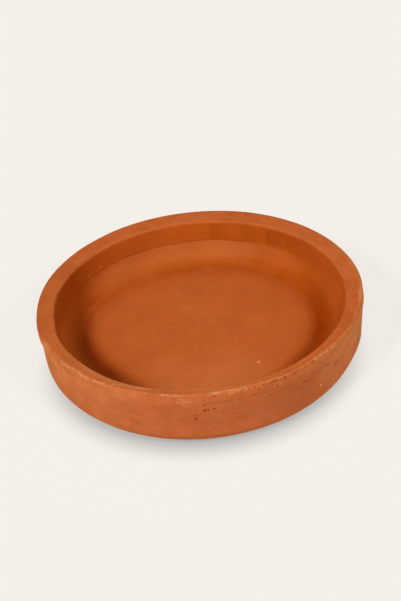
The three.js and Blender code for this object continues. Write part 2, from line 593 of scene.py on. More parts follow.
def worn_width(angle):
    """How far the worn edge reaches in over the rim's top, at angles in degrees."""
    angles, widths = zip(*WORN_EDGE)
    near = [np.interp(angle + off, angles, widths) for off in (-1.6, 0, 1.6)]
    return np.mean(near, 0) * MM


def climb_over_the_rim(radius, height):
    """How far each vertex lies along the rim's outside: up its side from where the worn edge
    starts, round its corner and in over its top, or -1 for the other vertices. Also gives how far
    along the flat top begins."""
    low_end = RIM_SEAM - WORN_FOOT_DROP
    side = TOP - EDGE_RADIUS - low_end
    corner = EDGE_RADIUS * math.pi / 2
    past_mouth = radius > (MOUTH_RADIUS + EDGE_RADIUS) - 1e-7
    on_land = past_mouth & (height > TOP - 1e-6)
    on_side = past_mouth & (height > low_end) & (height < TOP - EDGE_RADIUS + 1e-7)
    on_corner = past_mouth & ~on_land & ~on_side & (height >= low_end)
    climb = np.full(len(radius), -1.0)
    climb[on_side] = height[on_side] - low_end
    turn = np.arctan2(
        height[on_corner] - (TOP - EDGE_RADIUS), radius[on_corner] - (RIM_RADIUS - EDGE_RADIUS)
    )
    climb[on_corner] = side + EDGE_RADIUS * turn
    climb[on_land] = side + corner + (RIM_RADIUS - EDGE_RADIUS - radius[on_land])
    return climb, side + corner


def wear_the_edge(places, angle, radius, height):
    """Lays the rim's outer corner on a curve that falls away from a crest, by changing the radii
    and heights given. Gives how far each vertex lies past the crest, and how much it is worn."""
    width = worn_width(angle)
    for share, size, seed in CREST_WAVES:
        width *= 1 + share * clouds(places, size, 2, seed)
    climb, land_begins = climb_over_the_rim(radius, height)
    reach = land_begins + np.maximum(width - EDGE_RADIUS, LEAST_LAND)
    moved = (climb >= 0) & (climb <= reach) & (width > 0)
    along = climb[moved] / reach[moved]
    crest = RIM_RADIUS - width[moved]
    low_end = RIM_SEAM - WORN_FOOT_DROP
    lean = WALL_LEAN[0] / WALL_LEAN[1]
    foot = WALL_TOP_RADIUS - WORN_FOOT_DROP * lean
    bow = WORN_BOW * (TOP - low_end)
    tip = CREST_TIP * (crest - foot)
    inward, upward = tip * math.cos(CREST_SLOPE), tip * math.sin(CREST_SLOPE)
    worn_radius = cubic(foot, foot + lean * bow, crest - inward, crest, along)
    worn_height = cubic(low_end, low_end + bow, TOP + upward, TOP, along)
    worn = smooth_step(WORN_LEAST, WORN_FULL, width)
    radius[moved] += (worn_radius - radius[moved]) * worn[moved]
    height[moved] += (worn_height - height[moved]) * worn[moved]
    return np.where(climb >= 0, climb - reach, 1.0), worn


def outward_share(radius):
    """0 on the mouth's edge and inside it, 1 on the rim's outside."""
    return np.clip((radius - MOUTH_RADIUS) / RIM_WIDTH, 0, 1)


def upward_share(height):
    return np.minimum(height / RIM_SEAM, 1)


def out_of_true(angle, radius, height):
    """How far the outside and the mouth stand out from a true circle."""
    outward = outward_share(radius)
    on_foot = (radius > UNDER_RADIUS - MM) & (height < MARGIN_HEIGHT - 3 * MM)
    along_foot = smooth_step(UNDER_RADIUS - MM, UNDER_RADIUS + 3 * MM, radius)
    out_by = np.zeros(len(radius))
    for middle, to_side, at_rim, at_foot in OUT_OF_ROUND:
        fullness = at_foot + (at_rim - at_foot) * upward_share(height) ** 2
        out_by += fullness * MM * bump(turned_from(angle, middle), to_side)
    middle, to_side, fullness = FLUSH_WALL
    below_rim = 1 - smooth_step(RIM_SEAM - MM, TOP - 3 * MM, height)
    out_by += fullness * MM * bump(turned_from(angle, middle), to_side) * below_rim
    out_by *= np.where(on_foot, along_foot, outward)
    near_mouth = smooth_step(CREASE_HEIGHT, TOP, height) * smooth_step(0.6, 0.05, outward)
    for middle, to_side, fullness in MOUTH_IN:
        out_by -= fullness * MM * bump(turned_from(angle, middle), to_side) * near_mouth
    return out_by


def soften_the_crease(places, angle, radius, height):
    """How far the crease inside wavers up and down, and how far in its kink is filled, so that it
    is drawn over a wider curve."""
    from_crease = np.hypot(radius - CREASE_RADIUS, height - CREASE_HEIGHT)
    waver = CREASE_WAVER * clouds(places, WAVER_SIZE, 2, 17) * bump(from_crease, WAVER_REACH)
    filled = CREASE_KINK / (4 * CREASE_REACH) * np.clip(CREASE_REACH - from_crease, 0, None) ** 2
    filled *= by_angle(angle, CREASE_SMOOTHED)
    inner = radius < MOUTH_RADIUS + MM
    return waver * inner, filled * inner


def place_vertices(mesh, places):
    mesh.vertices.foreach_set("co", places.astype(np.float32).ravel())
    mesh.update()


def shape_the_skin(mesh):
    """Wears the front of the rim, sets the pan out of round and crowns the floor. Gives, for each
    vertex, its radius and height on the profile, how far it lies past the worn edge's crest, and
    how much its place is worn."""
    places = read(mesh.vertices, "co", 3)
    angle = np.degrees(np.arctan2(places[:, 1], places[:, 0]))
    round_way = np.radians(angle)
    radius = np.hypot(places[:, 0], places[:, 1])
    height = places[:, 2].copy()
    past_crest, worn = wear_the_edge(places, angle, radius, height)
    waver, filled = soften_the_crease(places, angle, radius, height)
    reach = radius + (out_of_true(angle, radius, height) - filled)
    # the rim's outside lies further back than the mouth, and the wall leans out to meet it
    back = MOUTH_SHIFT * (1 - outward_share(radius) * upward_share(height))
    moved = np.stack(
        [reach * np.cos(round_way), reach * np.sin(round_way) + back, height + waver], -1
    )
    in_floor = (height > MARGIN_HEIGHT - 1e-6) & (radius < MARGIN_RADIUS)
    moved[in_floor, 2] += FLOOR_CROWN * (1 - (radius[in_floor] / MARGIN_RADIUS) ** 2)
    place_vertices(mesh, moved)
    return radius, height, past_crest, worn


# Marks on the skin. A place is an angle, a radius and a height in mm, and only has to be near
# the skin. Pits are given as angle, height, width and depth, and are painted darker by their depth,
# as shade.
PITS = (
    (-91.7, 29.0, 1.2, 1.0), (-90.6, 29.4, 0.8, 0.7), (-88.4, 29.7, 0.9, 0.8),
    (-88.1, 39.3, 0.8, 0.5), (-91.7, 33.1, 1.0, 0.35), (-91.9, 36.3, 0.9, 0.3),
    (-95.1, 25.3, 0.9, 0.5), (-94.6, 23.2, 0.9, 0.6), (-94.9, 21.6, 0.7, 0.3),
    (-85.4, 27.4, 0.8, 0.35), (-86.4, 30.5, 0.6, 0.3), (-72.4, 37.1, 0.9, 0.4),
    (-68.0, 38.6, 0.8, 0.4), (-65.6, 34.9, 1.0, 0.4), (-62.4, 38.9, 0.8, 0.4),
    (-37.7, 26.4, 1.0, 0.45), (-110.8, 36.8, 0.7, 0.3), (-34.6, 30.4, 0.7, 0.3),
    (-25.2, 30.0, 0.8, 0.3), (-88.6, 14.5, 0.7, 0.25), (-84.0, 15.2, 0.7, 0.25),
)
# Lines pressed or scratched into the outside: their stops by angle and height, width and depth
# in mm, and how dark they are painted, as shade in them
SCRATCHES = (
    (((-55.4, 29.0), (-52.7, 27.8)), 0.7, 0.30, 0.60),
    (((-43.6, 30.3), (-42.4, 30.2)), 0.7, 0.30, 0.50),
    (((-39.5, 24.0), (-38.3, 24.8)), 0.8, 0.20, 0.35),
    (((-153.6, 37.2), (-146.0, 38.0), (-140.4, 39.2)), 1.0, 0.40, 0.12),
    (((-149.0, 35.8), (-143.5, 34.9), (-137.3, 35.1)), 1.0, 0.30, 0.10),
    (((-131.0, 36.6), (-124.0, 36.0)), 1.0, 0.25, 0.08),
    (((-112.8, 39.0), (-110.0, 39.4)), 0.7, 0.20, 0.20),
)
# Pale scuffs on the outside: their stops by angle and height, width, and how rubbed they are
SCUFFS = (
    (((-100.4, 37.8), (-99.0, 37.5)), 1.1, 0.9),
    (((-98.5, 37.0), (-96.8, 37.3)), 1.0, 0.9),
    (((-100.8, 35.9), (-98.4, 35.6)), 1.1, 0.85),
    (((-97.8, 35.4), (-96.0, 35.6)), 1.0, 0.80),
    (((-100.2, 34.0), (-97.4, 34.2)), 1.0, 1.0),
    (((-98.8, 32.5), (-96.6, 32.7)), 0.9, 0.9),
    (((-117.6, 37.4), (-115.9, 37.3)), 1.3, 0.6),
    (((-112.6, 36.7), (-111.2, 36.8)), 1.2, 0.6),
    (((-122.2, 37.0), (-120.2, 37.2)), 1.0, 0.4),
    (((-144.6, 33.5), (-140.8, 33.2), (-134.0, 33.1)), 2.0, 0.45),
    (((-106.5, 32.6), (-105.8, 32.6)), 0.9, 0.6),
    (((-38.4, 19.6), (-35.6, 21.0), (-32.4, 21.8)), 2.2, 1.10),
    (((-84.0, 38.9), (-81.4, 38.7)), 1.2, 0.7),
    (((-40.5, 38.6), (-31.0, 38.9)), 0.8, 0.9),
    (((-46.0, 39.6), (-42.0, 39.8)), 0.8, 0.9),
    (((-9.0, 40.0), (-3.0, 40.0)), 2.0, 0.45),
)
# How much of the worn edge's crest is rubbed, by angle
RUBBED_ON_CREST = (
    (-180, 0.8), (-150, 0.5), (-112, 0.5), (-105, 0.8), (-99, 0.7), (-94, 0.35), (-90, 0.8),
    (-72, 0.95), (-40, 1.1), (-10, 1.0), (180, 0.8),
)
# Pale streaks on the worn rim: their stops by angle, radius and height, width, and how rubbed
STREAKS = (
    (((-151.0, 107.4, 36.5), (-146.8, 107.1, 38.6), (-143.7, 106.3, 39.7)), 2.6, 0.80),
    (((-143.7, 106.3, 39.7), (-138.7, 106.7, 38.9)), 2.0, 0.50),
    (((-136.4, 106.8, 39.2), (-135.0, 106.8, 39.2)), 2.2, 1.00),
    (((-132.8, 106.4, 39.4), (-128.6, 106.1, 39.6)), 2.2, 0.80),
    (((-125.4, 104.2, 40.0), (-122.6, 102.8, 40.0)), 1.9, 0.90),
    (((-121.6, 101.8, 40.0), (-116.0, 101.4, 40.0)), 1.6, 0.55),
    (((-115.6, 101.3, 40.0), (-110.6, 101.3, 40.0)), 1.7, 0.90),
    (((-107.6, 104.2, 40.0), (-105.4, 105.0, 39.9), (-101.4, 104.8, 39.9)), 1.8, 0.35),
    (((-90.6, 103.2, 40.0), (-87.0, 103.6, 40.0)), 1.5, 0.45),
    (((-90.8, 105.4, 39.9), (-86.6, 105.8, 39.9)), 1.8, 0.20),
)
# Pale grains and lumps in the clay: x, y, z, width, how pale, and how far it stands out, in mm
GRAINS = (
    (35.0, -40.3, 13.0, 1.05, 1.60, 0.55),
    (72.9, -79.1, 18.2, 0.80, 1.20, 0.35),
    (55.7, 5.6, 13.0, 0.8, 0.35, 0.15),
    (53.0, -14.0, 13.0, 0.7, 0.20, 0.10),
    (9.1, 74.6, 12.8, 1.4, 0.24, 0.15),
    (40.0, -22.0, 13.0, 0.7, 0.20, 0.10),
    (-9.6, 30.0, 13.2, 2.2, 0.08, 0.05),
    (-64.4, 68.0, 28.4, 1.8, 0.08, 0.40),
    (-73.0, 59.0, 28.0, 1.5, 0.06, 0.32),
    (104.0, -7.5, 40.0, 0.8, 0.30, 0.20),
    (101.6, -26.0, 40.0, 0.8, 0.35, 0.20),
)
# The rim's edge lets go in small crumbs below the crest: by angle, how much of it
CRUMBLED = (
    (-180, 0), (-82, 0), (-74, 0.8), (-56, 0.8), (-47, 0.40), (-38, 0.20), (-18, 0.12), (-8, 0),
    (180, 0),
)
# Strokes of a finger up the inner wall: the angle at which each starts, how far it runs on
# clockwise, and its strength
STROKES = (
    (118.0, 22, 0.25),
    (82.4, 10, 1.0),
    (69.0, 10, 0.30),
    (57.5, 26, 0.95),
    (47.9, 14, 0.35),
    (31.0, 8, 0.16),
    (20.0, 12, 0.20),
    (5.0, 7, 0.16),
    (-7.0, 9, 0.20),
    (-178.0, 30, 0.30),
)

# Painted shade inside, 0 to 1: the clay is painted darker where shade falls, on the floor near the
# wall, in the groove and up the cove, by radius in mm
SHADE_BY_RADIUS = (
    (0, 0), (40, 0.03), (52, 0.10), (65, 0.18), (70, 0.26), (73, 0.34), (77, 0.42), (79.5, 0.54),
    (81.5, 0.80), (83, 0.76), (84.5, 0.58), (86.5, 0.48), (87.8, 0.36), (89, 0.16), (90.5, 0.02),
    (95, 0.04),
)
# Painted shade on the wall and the cove below it, by angle
SHADE_ON_WALL = (
    (-180, 0.0), (-50, 0), (20, 0), (32, 0.08), (46, 0.06), (54, 0.10), (58.5, 0.24), (67, 0.22),
    (73, 0.05), (78, 0), (132, 0), (141, 0.28), (148, 0.56), (154, 0.64), (166, 0.42), (176, 0.10),
)
# Two painted shadows, crescents along the foot of the wall where the rim's shadow falls: by angle,
# the radius in mm and the darkness there
PAINTED_SHADOW_LEFT = (
    (134, 90, 0), (152, 88, 0.20), (164, 84, 0.66), (176, 79.4, 0.90), (190, 75.4, 0.96),
    (210, 70.5, 0.94), (230, 67, 0.5), (250, 66, 0),
)
PAINTED_SHADOW_RIGHT = (
    (-62, 72, 0), (-38, 75.5, 0.74), (-12, 79, 0.94), (8, 82, 0.94), (22, 84, 0.76), (34, 86, 0.54),
    (50, 88, 0.36), (66, 89, 0),
)

# Where the outside is paler, by angle: on the wall, and on the rim's top
PALE_ON_WALL = (
    (-180, 0.52), (-165, 0.68), (-150, 0.52), (-130, 0.36), (-118, 0.15), (-105, 0.04), (-60, 0.03),
    (-50, 0.20), (-38, 0.52), (-25, 0.84), (-10, 1.0), (5, 0.90), (25, 0.55), (60, 0.36), (180, 0.52),
)
PALE_ON_RIM = (
    (-180, 0), (-160, 0.12), (-140, 0.16), (-120, 0.10), (-108, 0.08), (-96, 0.20), (-84, 0.32),
    (-74, 0.20), (-60, 0.10), (-48, 0.04), (-30, 0), (180, 0),
)
# Where the rim's top is a little deeper in colour
DARK_ON_RIM = (
    (-180, 0.22), (-160, 0.14), (-140, 0.16), (-124, 0.26), (-110, 0.28), (-96, 0.10), (-84, 0.04),
    (-60, 0), (130, 0), (158, 0.26), (180, 0.22),
)
# Where the rim is ruddier just inside its worn edge, by angle
RUDDY_ON_RIM = (
    (-180, 0), (-84, 0), (-68, 0.35), (-30, 0.45), (-6, 0.60), (10, 0.2), (24, 0), (180, 0),
)

# Places on the outside are looked for from this radius in mm
OUTSIDE_RADIUS = 107.5


def at(angle, radius, height):
    """A place given by angle in degrees, and radius and height in mm."""
    way = math.radians(angle)
    return Vector((radius * MM * math.cos(way), radius * MM * math.sin(way), height * MM))


def outside_at(angle, height):
    return at(angle, OUTSIDE_RADIUS, height)


def by_angle(angle, stops, column=1):
    """A value given at stops round the pan, at each angle."""
    stops = sorted(stops)
    middle = (stops[0][0] + stops[-1][0]) / 2
    turned = middle + turned_from(angle, middle)
    return np.interp(turned, [stop[0] for stop in stops], [stop[column] for stop in stops])


def near_line(tree, count, stops, reach):
    """How far each point of the skin is from a line of stops laid on it, up to reach."""
    apart = np.full(count, 10 * reach)
    laid = [tree.find(stop)[0] for stop in stops]
    for start, end in zip(laid, laid[1:] + laid[-1:]):
        steps = max(1, math.ceil((end - start).length / (reach / 3)))
        for step in range(steps):
            for _, index, distance in tree.find_range(start.lerp(end, step / steps), reach):
                apart[index] = min(apart[index], distance)
    return apart


# The masks that the materials read
MASKS = (
    "rubbed", "pit_shade", "darker_and_painted_shade", "pale_patches", "inside", "level", "wall", "lit_wall", "shadow_left",
    "shadow_right", "ruddy", "grain", "cove",
)


class SkinWork:
    """The skin's vertices, how far each is raised along its normal so far, and its masks."""

    def __init__(self, mesh, radius, height, past_crest, worn):
        self.places = read(mesh.vertices, "co", 3)
        self.round_way = np.arctan2(self.places[:, 1], self.places[:, 0])
        self.angle = np.degrees(self.round_way)
        self.radius = radius
        self.height = height
        self.past_crest = past_crest
        self.inside = smooth_step(MOUTH_RADIUS + EDGE_RADIUS, MOUTH_RADIUS - 0.2 * MM, radius)
        self.inside *= height > SLAB_EDGE - 2.5 * MM
        self.outside = 1 - self.inside
        self.worn = worn * self.outside
        self.raised = np.zeros(len(radius))
        self.masks = {name: np.zeros(len(radius)) for name in MASKS}
        self.tree = kdtree.KDTree(len(radius))
        for index, place in enumerate(self.places):
            self.tree.insert(place, index)
        self.tree.balance()

    def clouds(self, size, octaves, seed):
        """Noise with lumps of that size in mm."""
        return clouds(self.places, size * MM, octaves, seed)

    def by_angle(self, stops, column=1):
        return by_angle(self.angle, stops, column)

    def round(self, middle, to_side):
        """1 at an angle, falling softly to each side."""
        return bump(turned_from(self.angle, middle), to_side)

    def apart(self, line, reach):
        """How far each vertex is from a line of places, up to a reach in mm."""
        return near_line(self.tree, len(self.raised), line, reach * MM)

    def along(self, line, width, reach=2.0, share=1.0):
        """1 on a line of places, falling softly over a share of its width in mm."""
        return bump(self.apart(line, reach * width), share * width * MM)


# Uneven by hand: how high and how wide the lumps are in mm, octaves and seed. Wiped round with a
# wet hand: how high, how long and how wide the wipes are in mm, and seed
LUMPS = ((0.10, 24, 2, 2), (0.025, 2.0, 3, 3))
WIPES = ((0.045, 60, 3.2, 5), (0.020, 24, 1.3, 6))


def make_uneven(work):
    for high, size, octaves, seed in LUMPS:
        work.raised += high * MM * work.clouds(size, octaves, seed)
    for high, length, width, seed in WIPES:
        drawn = wipes(work.round_way, work.radius, work.height, length * MM, width * MM, seed)
        work.raised += high * MM * drawn


# The worn edge's crest. Where it is crisp, between these angles, its rubbed band is narrower
CRISP_BEGINS = (-82, -68)
CRISP_ENDS = (-30, -22)
CREST_GRIT = 0.13 * MM
CREST_SLACK = 0.5 * MM
GRIT_BELOW_CREST = (-9 * MM, -2 * MM)
# Its rubbed band: how far below the crest and how wide in mm, and how strong, all over and where
# it's patchy. Each is a value and how much that changes where the crest is crisp
BAND_DROP = (1.8, -0.8)
BAND_WIDTH = (5.2, -2.6)
BAND_RUBBED = (0.16, 0.20)
BAND_PATCHY = (0.24, 0.20)
BAND_WAVER = 0.9
RUBBED_BELOW_CREST = (-9 * MM, -1 * MM)
RUBBED_BELOW = 0.20
# The crumbs lie this far below the crest, in a band this wide, and leave hollows this deep, painted
# this dark as shade
CRUMBS_DROP = 3.2 * MM
CRUMBS_BAND = 2.4 * MM
CRUMB_DEPTH = 0.50 * MM
CRUMB_SHADE = 0.75
CRUMBS_BREAK = (0.05, 0.35)
RUB_LOST_TO_CRUMBS = 0.8


def wear_the_crest(work, patchy):
    """The worn edge is rough, its crest is rubbed pale, and crumbs let go in a broken line under
    it on the right, with painted shade in their hollows."""
    past_crest, masks = work.past_crest, work.masks
    crisp = smooth_step(*CRISP_BEGINS, work.angle) * (1 - smooth_step(*CRISP_ENDS, work.angle))
    band_drop, band_width, plain, in_patches = [
        value + change * crisp for value, change in (BAND_DROP, BAND_WIDTH, BAND_RUBBED, BAND_PATCHY)
    ]
    grit = CREST_GRIT * work.clouds(1.7, 2, 7) * work.worn * (past_crest < CREST_SLACK)
    work.raised += grit * smooth_step(*GRIT_BELOW_CREST, past_crest)
    strays = work.clouds(3, 2, 15) * MM
    on_crest = bump(past_crest + band_drop * MM + BAND_WAVER * strays, band_width * MM)
    on_crest *= plain + in_patches * patchy
    on_crest *= work.by_angle(RUBBED_ON_CREST)
    below_crest = smooth_step(*RUBBED_BELOW_CREST, past_crest) * (past_crest < 0) * (1 - crisp)
    masks["rubbed"] += work.worn * (on_crest + RUBBED_BELOW * patchy * below_crest)
    broken = smooth_step(*CRUMBS_BREAK, work.clouds(1.5, 2, 16))
    crumbled = broken * bump(past_crest + CRUMBS_DROP + strays, CRUMBS_BAND) * work.outside
    crumbled *= work.by_angle(CRUMBLED)
    work.raised -= CRUMB_DEPTH * crumbled
    masks["pit_shade"] += CRUMB_SHADE * crumbled
    masks["rubbed"] *= 1 - RUB_LOST_TO_CRUMBS * crumbled


CREASE_WIDTH = 1.1 * MM
CREASE_DEPTH = 0.22 * MM
# The crease's line is painted darker by this much, as shade
CREASE_SHADE = 0.26
CREASE_LOST_IN_SMOOTHING = 0.85
# Its depth varies round the pan: the middle value and how far it strays
CREASE_UNEVEN = (0.65, 0.35)


def press_the_crease(work):
    """The crease where the corner coil ends on the wall. Gives how deep it is, 0 to 1."""
    from_crease = np.hypot(work.radius - CREASE_RADIUS, work.height - CREASE_HEIGHT)
    uneven = CREASE_UNEVEN[0] + CREASE_UNEVEN[1] * work.clouds(14, 2, 9)
    crease = bump(from_crease, CREASE_WIDTH) * uneven
    crease *= 1 - CREASE_LOST_IN_SMOOTHING * work.by_angle(CREASE_SMOOTHED)
    work.raised -= CREASE_DEPTH * crease
    return crease


STROKE_DEPTH = 0.16 * MM
# The strokes are painted darker by this much, as shade where they turn away from the light
STROKE_SHADE = 0.40
# Over how many degrees a stroke begins
STROKE_EDGE = (-0.35, 0.45)
# The heights over which the strokes begin above the crease and end below the rim
STROKES_FROM = (CREASE_HEIGHT - 1 * MM, CREASE_HEIGHT + 1.5 * MM)
STROKES_TO = (TOP - 4 * MM, TOP - 1.2 * MM)


def stroke_the_wall(work):
    """Strokes of a finger up the inner wall, and the shade painted along them."""
    on_wall = smooth_step(*STROKES_FROM, work.height) * work.inside
    on_wall *= 1 - smooth_step(*STROKES_TO, work.height)
    stroke = np.zeros(len(on_wall))
    for begins, run, strength in STROKES:
        after = turned_from(begins, work.angle)
        begun = smooth_step(*STROKE_EDGE, after)
        stroke += strength * begun * (1 - smooth_step(0, run, after)) * (after < run)
    work.raised -= STROKE_DEPTH * stroke * on_wall
    return STROKE_SHADE * stroke * on_wall


# The cove begins between these radii. The floor's painted shade is less at one angle: which, to each
# side, and by how much
COVE_BEGINS = (83 * MM, 90 * MM)
FLOOR_PALER = (128, 36, 0.22)
DARKNESS_STRAYS = 0.14
# How wide the two painted shadows are
SHADOW_LEFT_WIDTH = 11.5 * MM
SHADOW_RIGHT_WIDTH = 9 * MM
# The wall inside is paler at one angle, as painted light, and the cove has its own clay round the
# back, darker as painted shade
LIT_WALL_AT = (-10, 34)
BACK = 92
BACK_TO_SIDE = (62, 38)


def shade_the_inside(work, crease, strokes):
    """The painted shade inside: how dark the clay is painted in the groove, on the wall and in the
    crease, the two painted shadows at the foot of the wall, and where the wall's and cove's clays
    lie.
    """
    inside, masks = work.inside, work.masks
    steep = smooth_step(*COVE_BEGINS, work.radius)
    dark = np.interp(work.radius / MM, *zip(*SHADE_BY_RADIUS))
    middle, to_side, paler = FLOOR_PALER
    dark *= 1 - paler * work.round(middle, to_side)
    dark += steep * work.by_angle(SHADE_ON_WALL)
    uneven = 1 + DARKNESS_STRAYS * work.clouds(13, 3, 12)
    # The groove, the cove, the wall, the crease and the strokes are painted darker inside, as shade
    masks["darker_and_painted_shade"] += inside * (dark * uneven + CREASE_SHADE * crease) + strokes
    # The two crescents are painted shadows that the rim casts on the floor
    crescents = ("shadow_left", PAINTED_SHADOW_LEFT, SHADOW_LEFT_WIDTH), ("shadow_right", PAINTED_SHADOW_RIGHT, SHADOW_RIGHT_WIDTH)
    for name, stops, width in crescents:
        near = bump(work.radius - work.by_angle(stops) * MM, width)
        masks[name] += work.by_angle(stops, 2) * near * uneven * inside
    # Where the wall's and the cove's painted shade and the wall's painted light lie
    at_back = smooth_step(*BACK_TO_SIDE, np.abs(turned_from(work.angle, BACK)))
    above_crease = smooth_step(CREASE_HEIGHT - 2 * MM, CREASE_HEIGHT + MM, work.height)
    masks["wall"] += inside * np.clip(above_crease + steep * (1 - at_back), 0, 1)
    masks["lit_wall"] += inside * work.round(*LIT_WALL_AT) * above_crease
    masks["cove"] += inside * steep * at_back * (1 - above_crease)


# How pale the wall is at its foot and how much more higher up, between which heights
PALE_AT_FOOT = 0.80
PALER_ABOVE = 0.35
PALER_BETWEEN = (12 * MM, 34 * MM)
PALENESS_STRAYS = 0.35
# The rim's outer edge on the right is paler too: where, how much, and an ochre patch on it as an
# angle, how far to each side and how many times stronger
EDGE_RADII = (105 * MM, 108 * MM)
EDGE_MIDDLE = -8
EDGE_TO_SIDE = (50, 20)
EDGE_PALE = 0.3
OCHRE_PATCH = (-6, 6, 4.2)


def pale_the_sides(work, on_top):
    """Paler clay on the outside, most of it at both sides and along the front of the rim."""
    on_edge = smooth_step(*EDGE_RADII, work.radius)
    on_edge *= smooth_step(*EDGE_TO_SIDE, np.abs(work.angle - EDGE_MIDDLE))
    middle, to_side, stronger = OCHRE_PATCH
    on_edge *= 1 + stronger * bump(work.angle - middle, to_side)
    pale = PALE_AT_FOOT + PALER_ABOVE * smooth_step(*PALER_BETWEEN, work.height)
    pale *= work.by_angle(PALE_ON_WALL)
    pale += on_top * (work.by_angle(PALE_ON_RIM) + EDGE_PALE * on_edge - pale)
    return pale * ((1 + PALENESS_STRAYS * work.clouds(11, 3, 14)) * work.outside)


# Patches, as an angle and how far to each side: a pale and a deep band on the outside at the left,
# deeper clay outside just right of the front, and pale clay up the cove and by the mouth
LEFT_BANDS = (-152, 28)
DEEP_FRONT = (-74, 30)
PALE_COVE = (72, 24)
PALE_MOUTH = (-124, 44)
RUDDY_INSET = 3.2 * MM
RUDDY_WIDTH = 2.2 * MM


def tone_the_skin(work, patchy):
    """Paler clay, and deep or ruddy clay, in patches over the skin."""
    radius, height, inside, outside = work.radius, work.height, work.inside, work.outside
    on_top = smooth_step(TOP - 1.6 * MM, TOP - 0.3 * MM, height) * outside
    pale_patches = pale_the_sides(work, on_top)
    at_front = smooth_step(60, 25, np.abs(turned_from(work.angle, -90)))
    pale_patches += 0.36 * inside * at_front * smooth_step(10 * MM, 62 * MM, radius)
    pale_patches += 0.20 * outside * smooth_step(12 * MM, 5 * MM, height)
    pale_patches += 0.12 * work.masks["cove"] * work.round(*PALE_COVE)
    at_mouth = smooth_step(MOUTH_RADIUS + 6.5 * MM, MOUTH_RADIUS + MM, radius)
    at_mouth *= smooth_step(TOP - 5 * MM, TOP - 1.5 * MM, height)
    pale_patches += 0.50 * at_mouth * work.round(*PALE_MOUTH)
    at_left = work.round(*LEFT_BANDS) * outside
    pale_patches += 0.24 * at_left * bump(height - 33 * MM, 3 * MM)
    pale_patches -= 0.16 * at_left * bump(height - 37.6 * MM, 2.4 * MM)
    work.masks["pale_patches"] += pale_patches
    work.masks["level"] += on_top
    from_edge = radius - (RIM_RADIUS - worn_width(work.angle) - RUDDY_INSET)
    ruddy = on_top * bump(from_edge, RUDDY_WIDTH) * work.by_angle(RUDDY_ON_RIM)
    work.masks["ruddy"] += ruddy * (0.6 + 0.4 * patchy)
    work.masks["darker_and_painted_shade"] += on_top * work.by_angle(DARK_ON_RIM)
    at_middle = smooth_step(12 * MM, 20 * MM, height) * smooth_step(38 * MM, 32 * MM, height)
    work.masks["darker_and_painted_shade"] += 0.36 * outside * at_middle * work.round(*DEEP_FRONT)


# A pit has a low lip, which stands up by this share of its depth
LIP_SHARE = 0.15
SCUFF_STAND = 0.10 * MM
STREAK_STAND = 0.12 * MM
# A mark rubs the clay by this much, and falls softly over this share of its width
RUB_STRENGTH = 0.50
RUB_SHARE = 0.8


# Pits and scratches, painted darker by their depth as shade
def lay_pits(work):
    for angle, height, width, depth in PITS:
        apart = work.apart([outside_at(angle, height)], 1.6 * width)
        dent = bump(apart, width * MM)
        work.raised -= depth * MM * dent
        work.masks["pit_shade"] += min(1, 1.4 * depth) * dent
        work.raised += LIP_SHARE * depth * MM * bump(apart - width * MM, 0.6 * width * MM)
    for stops, width, depth, darkness in SCRATCHES:
        cut = work.along([outside_at(*stop) for stop in stops], width, 2.2)
        work.raised -= depth * MM * cut
        work.masks["pit_shade"] += darkness * cut


def lay_scuffs(work, patchy):
    for stops, width, strength in SCUFFS:
        scuff = work.along([outside_at(*stop) for stop in stops], width, share=RUB_SHARE)
        work.masks["rubbed"] += RUB_STRENGTH * strength * scuff
        work.raised += SCUFF_STAND * strength * scuff
    for stops, width, strength in STREAKS:
        streak = work.along([at(*stop) for stop in stops], width, share=RUB_SHARE)
        work.masks["rubbed"] += RUB_STRENGTH * strength * streak * (0.6 + 0.8 * patchy)
        work.raised += STREAK_STAND * strength * streak


def lay_grains(work):
    for x, y, z, width, paleness, stand in GRAINS:
        grain = work.along([Vector((x * MM, y * MM, z * MM))], width)
        work.masks["grain"] += paleness * grain
        work.raised += stand * MM * grain


# Small pits and crumbs all over the outside. Most are near the worn edge, round cluster angles
RANDOM_PITS = 220
PIT_CLUSTERS = 9
RANDOM_SEED = 11
CLUSTER_SHARE = 0.6
CLUSTER_ANGLES = (-160, -20)
CLUSTER_SPREAD = 6
# In mm: the height from which clustered pits thin out downwards and over how much, the heights
# between which the rest lie, and the lowest for both
CLUSTER_HEIGHT = 39.5
CLUSTER_DROP = 5.0
SCATTER_HEIGHTS = (4, 39)
LEAST_HEIGHT = 3
PIT_WIDTHS = (0.45, 0.75)
PIT_DEPTHS = (0.10, 0.28)
# The share that are pits. The rest are crumbs, which stand out by less
PIT_SHARE = 0.55
CRUMB_STAND = -0.6
# How dark a pit is painted, as shade, and how pale a crumb is, for each mm of its depth
PIT_DARKNESS = 1.6
CRUMB_PALENESS = 4


def scatter_pits(work):
    chance = np.random.default_rng(RANDOM_SEED)
    clusters = chance.uniform(*CLUSTER_ANGLES, PIT_CLUSTERS)
    for _ in range(RANDOM_PITS):
        if chance.random() < CLUSTER_SHARE:
            angle = chance.normal(chance.choice(clusters), CLUSTER_SPREAD)
            height = CLUSTER_HEIGHT - chance.exponential(CLUSTER_DROP)
        else:
            angle = chance.uniform(-180, 180)
            height = chance.uniform(*SCATTER_HEIGHTS)
        width = chance.uniform(*PIT_WIDTHS)
        depth = chance.uniform(*PIT_DEPTHS)
        depth *= 1 if chance.random() < PIT_SHARE else CRUMB_STAND
        dent = work.along([outside_at(angle, max(height, LEAST_HEIGHT))], width, 1.5)
        work.raised -= depth * MM * dent
        if depth > 0:
            work.masks["pit_shade"] += PIT_DARKNESS * depth * dent
        else:
            work.masks["rubbed"] -= CRUMB_PALENESS * depth * dent


